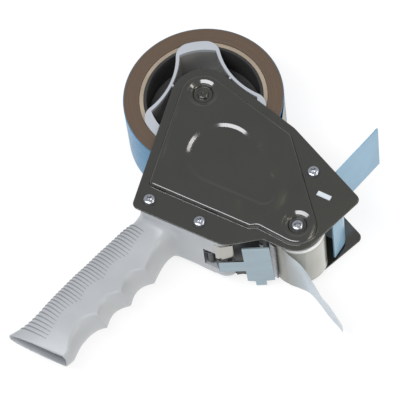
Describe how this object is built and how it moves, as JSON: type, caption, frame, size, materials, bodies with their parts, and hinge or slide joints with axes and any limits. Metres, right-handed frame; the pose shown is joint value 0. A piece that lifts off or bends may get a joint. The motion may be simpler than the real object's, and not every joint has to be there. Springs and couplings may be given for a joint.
{
  "type": "tape dispenser",
  "caption": "Pistol-grip dispenser for packing tape: pressed side plates, braked hub with a roll of tape, rubber roller, sprung blade guard and front flap.",
  "frame": {"origin": "centre of the footprint of the dispenser as it lies on its far side plate", "axes": "+X to the front of the dispenser (away from the grip), +Y up to the tape roll, +Z along the hub axle, from the far side plate to the near one"},
  "size_m": [0.2468, 0.2258, 0.055],
  "materials": {
    "plate_enamel": "gloss",
    "screw_chrome": "polished, cross recess",
    "zinc_steel": "zinc plated",
    "spring_steel": "bright",
    "guard_steel": "zinc plated, satin",
    "blade_steel": "bright, serrated",
    "holder_enamel": "satin",
    "friction_fibre": "matt fibre",
    "grey_plastic": "matt",
    "handle_plastic": "fine satin texture",
    "drum_plastic": "semi gloss",
    "white_plastic": "satin",
    "core_board": "paper board",
    "tape_side": "wound film edge",
    "roller_plastic": "satin",
    "flap_plastic": "satin",
    "carrier_plastic": "satin",
    "tape_film": "clear film"
  },
  "bodies": {
    "frame": {"near_side_plate": "plate_enamel", "far_side_plate": "plate_enamel", "near_screws": "screw_chrome", "far_screws": "screw_chrome", "spacer_post": "zinc_steel", "hub_bolt": "plate_enamel", "hub_nut": "zinc_steel", "hub_spacer": "grey_plastic", "friction_washer": "friction_fibre", "pressure_washer": "zinc_steel", "brake_spring": "spring_steel", "roller_axle": "zinc_steel", "roller_spacers": "grey_plastic", "handle": "handle_plastic", "guard_pin": "zinc_steel", "blade_holder": "holder_enamel", "blade": "blade_steel", "blade_rivets": "zinc_steel", "holder_screws": "screw_chrome", "guard_spring": "spring_steel", "flap_carrier": "carrier_plastic", "flap_pin": "zinc_steel", "flap_spring": "spring_steel", "threaded_tape": "tape_film", "tape_tail": "tape_film"},
    "roll": {"hub_sleeve": "drum_plastic", "hub_disc": "drum_plastic", "hub_wall_near": "drum_plastic", "hub_wall_far": "drum_plastic", "hub_rim_near": "white_plastic", "hub_rim_far": "white_plastic", "tape_core": "core_board", "tape_roll": "tape_side"},
    "roller": {"roller_tube": "roller_plastic", "roller_end_near": "white_plastic", "roller_end_far": "white_plastic", "roller_bushes": "white_plastic"},
    "guard": {"blade_guard": "guard_steel"},
    "flap": {"front_flap": "flap_plastic"}
  },
  "joints": [
    {"name": "hub_spin", "type": "hinge", "parent": "frame", "child": "roll", "pos_m": [0.01764, 0.06167, 0.0275], "axis": [0, 0, 1], "continuous": true},
    {"name": "roller_spin", "type": "hinge", "parent": "frame", "child": "roller", "pos_m": [0.06324, -0.04173, 0.0275], "axis": [0, 0, 1], "continuous": true},
    {"name": "guard_hinge", "type": "hinge", "parent": "frame", "child": "guard", "pos_m": [0.00814, -0.03793, 0.0275], "axis": [0, 0, 1], "range_deg": [0, 2], "stiffness_Nm_per_rad": 0.5},
    {"name": "flap_hinge", "type": "hinge", "parent": "frame", "child": "flap", "pos_m": [0.08654, -0.00973, 0.0275], "axis": [0, 0, 1], "range_deg": [-5, 12], "stiffness_Nm_per_rad": 0.05}
  ],
  "couplings": [
    {"joint": "roller_spin", "follows": "hub_spin", "ratio": -3.0659}
  ]
}
